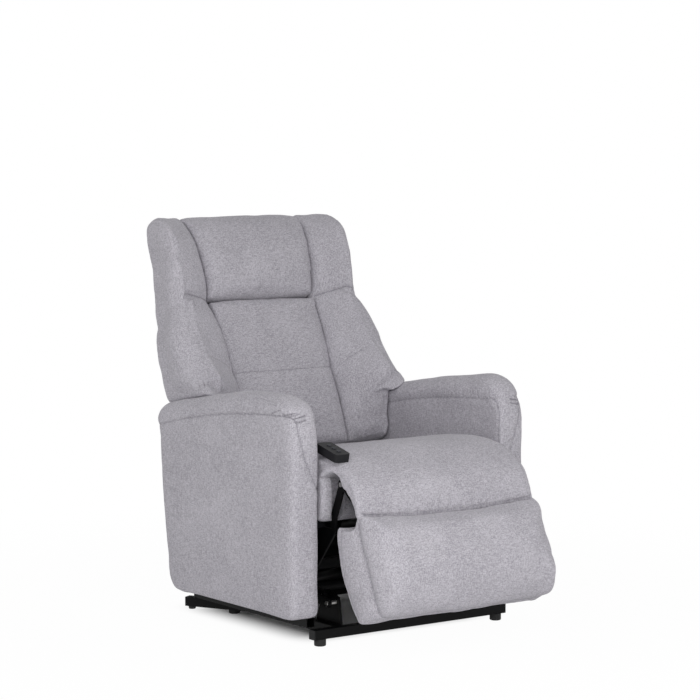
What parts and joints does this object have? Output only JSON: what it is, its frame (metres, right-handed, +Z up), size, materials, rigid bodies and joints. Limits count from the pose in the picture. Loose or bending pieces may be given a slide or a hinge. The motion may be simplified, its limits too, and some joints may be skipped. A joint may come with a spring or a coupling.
{
  "type": "lift recliner chair",
  "caption": "Powered lift recliner chair with padded arms, winged back, folding leg rest, steel lift base and a hand control.",
  "frame": {"origin": "middle of the footprint on the floor", "axes": "+X to the sitter's left, +Y from front to back, +Z up"},
  "size_m": [0.76, 1.11, 1.0757],
  "materials": {
    "arm_fabric": "light grey woven upholstery",
    "seat_fabric": "light grey woven upholstery",
    "leg_fabric": "light grey woven upholstery",
    "back_fabric": "light grey woven upholstery",
    "frame_paint": "black powder coat",
    "mechanism_paint": "black powder coat",
    "pin_steel": "zinc plated",
    "rod_steel": "polished rod",
    "motor_plastic": "black",
    "cap_plastic": "black",
    "foot_rubber": "black",
    "timber": "plain softwood",
    "strap_web": "elastic webbing",
    "handset_plastic": "black",
    "button_plastic": "grey"
  },
  "bodies": {
    "base": {"base_front_tube": "frame_paint", "base_rear_tube": "frame_paint", "base_rail_right": "frame_paint", "base_rail_left": "frame_paint", "outrigger_right": "frame_paint", "outrigger_left": "frame_paint", "tube_caps": "cap_plastic", "outrigger_bumpers": "foot_rubber", "levelling_feet": "foot_rubber", "base_bracket_right": "frame_paint", "base_bracket_left": "frame_paint", "base_pivot_pins": "pin_steel"},
    "lift_arms": {"lift_arm_right": "mechanism_paint", "lift_arm_left": "mechanism_paint", "torsion_tube": "mechanism_paint"},
    "right_guide_link": {"guide_link_right": "mechanism_paint"},
    "left_guide_link": {"guide_link_left": "mechanism_paint"},
    "lift_motor": {"lift_actuator_housing": "motor_plastic"},
    "lift_rod": {"lift_actuator_rod": "rod_steel"},
    "chair": {"chair_rail_right": "frame_paint", "chair_rail_left": "frame_paint", "chair_cross_tubes": "mechanism_paint", "side_plate_right": "mechanism_paint", "side_plate_left": "mechanism_paint", "chair_pivot_pins": "pin_steel", "arm_timber_frames": "timber", "arm_panel_right": "arm_fabric", "arm_panel_left": "arm_fabric", "arm_pad_right": "arm_fabric", "arm_pad_left": "arm_fabric", "seat_side_rails": "timber", "seat_front_rail": "seat_fabric", "seat_straps": "strap_web", "seat_cushion": "seat_fabric", "control_box": "motor_plastic", "leg_actuator_housing": "motor_plastic"},
    "upper_leg_panel": {"leg_arms": "mechanism_paint", "flap_board": "timber", "flap_cushion": "leg_fabric"},
    "leg_rest": {"leg_rest_hinges": "mechanism_paint", "leg_rest_board": "timber", "leg_rest_cushion": "leg_fabric"},
    "leg_rod": {"leg_actuator_rod": "rod_steel"},
    "back": {"back_posts": "mechanism_paint", "back_cross_rails": "mechanism_paint", "back_straps": "strap_web", "lumbar_cushion": "back_fabric", "middle_cushion": "back_fabric", "headrest_cushion": "back_fabric", "back_bolster_right": "back_fabric", "back_bolster_left": "back_fabric", "back_rear_panel": "back_fabric"},
    "back_motor": {"back_actuator_housing": "motor_plastic"},
    "back_rod": {"back_actuator_rod": "rod_steel"},
    "handset": {"handset_bottom_shell": "handset_plastic", "handset_top_shell": "handset_plastic", "handset_gland": "handset_plastic"},
    "lift_button": {"lift_button": "button_plastic"},
    "lower_button": {"lower_button": "button_plastic"},
    "leg_rest_button": {"leg_rest_button": "button_plastic"}
  },
  "joints": [
    {"name": "lift", "type": "hinge", "parent": "base", "child": "lift_arms", "pos_m": [0, -0.21302, 0.11], "axis": [1, 0, 0], "range_deg": [0, 40]},
    {"name": "chair_tilt", "type": "hinge", "parent": "lift_arms", "child": "chair", "pos_m": [0, 0.0767, 0.15995], "axis": [1, 0, 0], "range_deg": [-20.01, 0]},
    {"name": "right_guide_turn", "type": "hinge", "parent": "base", "child": "right_guide_link", "pos_m": [0, -0.25442, 0.099], "axis": [1, 0, 0], "range_deg": [0, 46.17]},
    {"name": "left_guide_turn", "type": "hinge", "parent": "base", "child": "left_guide_link", "pos_m": [0, -0.25442, 0.099], "axis": [1, 0, 0], "range_deg": [0, 46.17]},
    {"name": "lift_motor_turn", "type": "hinge", "parent": "base", "child": "lift_motor", "pos_m": [0, 0.18698, 0.066], "axis": [1, 0, 0], "range_deg": [-4.37, 0]},
    {"name": "lift_rod_travel", "type": "slide", "parent": "lift_motor", "child": "lift_rod", "axis": [0, -0.9645, 0.2641], "range_m": [0, 0.05581]},
    {"name": "leg_panel_open", "type": "hinge", "parent": "chair", "child": "upper_leg_panel", "pos_m": [0, -0.33302, 0.418], "axis": [-1, 0, 0], "range_deg": [-9, 42]},
    {"name": "leg_rest_turn", "type": "hinge", "parent": "upper_leg_panel", "child": "leg_rest", "pos_m": [0, -0.42102, 0.352], "axis": [-1, 0, 0], "range_deg": [-5.86, 27.31]},
    {"name": "leg_rod_travel", "type": "slide", "parent": "chair", "child": "leg_rod", "axis": [0, -0.9773, 0.212], "range_m": [-0.01636, 0.07452]},
    {"name": "back_recline", "type": "hinge", "parent": "chair", "child": "back", "pos_m": [0, 0.23698, 0.33], "axis": [-1, 0, 0], "range_deg": [-6, 35]},
    {"name": "back_motor_turn", "type": "hinge", "parent": "chair", "child": "back_motor", "pos_m": [0, 0.02498, 0.27], "axis": [1, 0, 0], "range_deg": [-6.75, 1.17]},
    {"name": "back_rod_travel", "type": "slide", "parent": "back_motor", "child": "back_rod", "axis": [0, 0.9971, -0.0756], "range_m": [-0.05314, 0.00952]},
    {"name": "handset_lift_off", "type": "slide", "parent": "chair", "child": "handset", "axis": [0, 0, 1], "range_m": [0, 0.2]},
    {"name": "lift_button_press", "type": "slide", "parent": "handset", "child": "lift_button", "axis": [0, 0.2419, -0.9703], "range_m": [0, 0.0012], "stiffness_N_per_m": 400},
    {"name": "lower_button_press", "type": "slide", "parent": "handset", "child": "lower_button", "axis": [0, 0.2419, -0.9703], "range_m": [0, 0.0012], "stiffness_N_per_m": 400},
    {"name": "leg_rest_button_press", "type": "slide", "parent": "handset", "child": "leg_rest_button", "axis": [0, 0.2419, -0.9703], "range_m": [0, 0.0012], "stiffness_N_per_m": 400}
  ],
  "couplings": [
    {"joint": "chair_tilt", "follows": "lift", "ratio": -0.5},
    {"joint": "right_guide_turn", "follows": "lift", "ratio": 1.154},
    {"joint": "left_guide_turn", "follows": "lift", "ratio": 1.154},
    {"joint": "lift_motor_turn", "follows": "lift", "ratio": -0.1091},
    {"joint": "lift_rod_travel", "follows": "lift", "m_per_rad": 0.07923},
    {"joint": "leg_rest_turn", "follows": "leg_panel_open", "ratio": 0.65},
    {"joint": "leg_rod_travel", "follows": "leg_panel_open", "m_per_rad": 0.10098},
    {"joint": "back_motor_turn", "follows": "back_recline", "ratio": -0.1925},
    {"joint": "back_rod_travel", "follows": "back_recline", "m_per_rad": -0.08617}
  ]
}
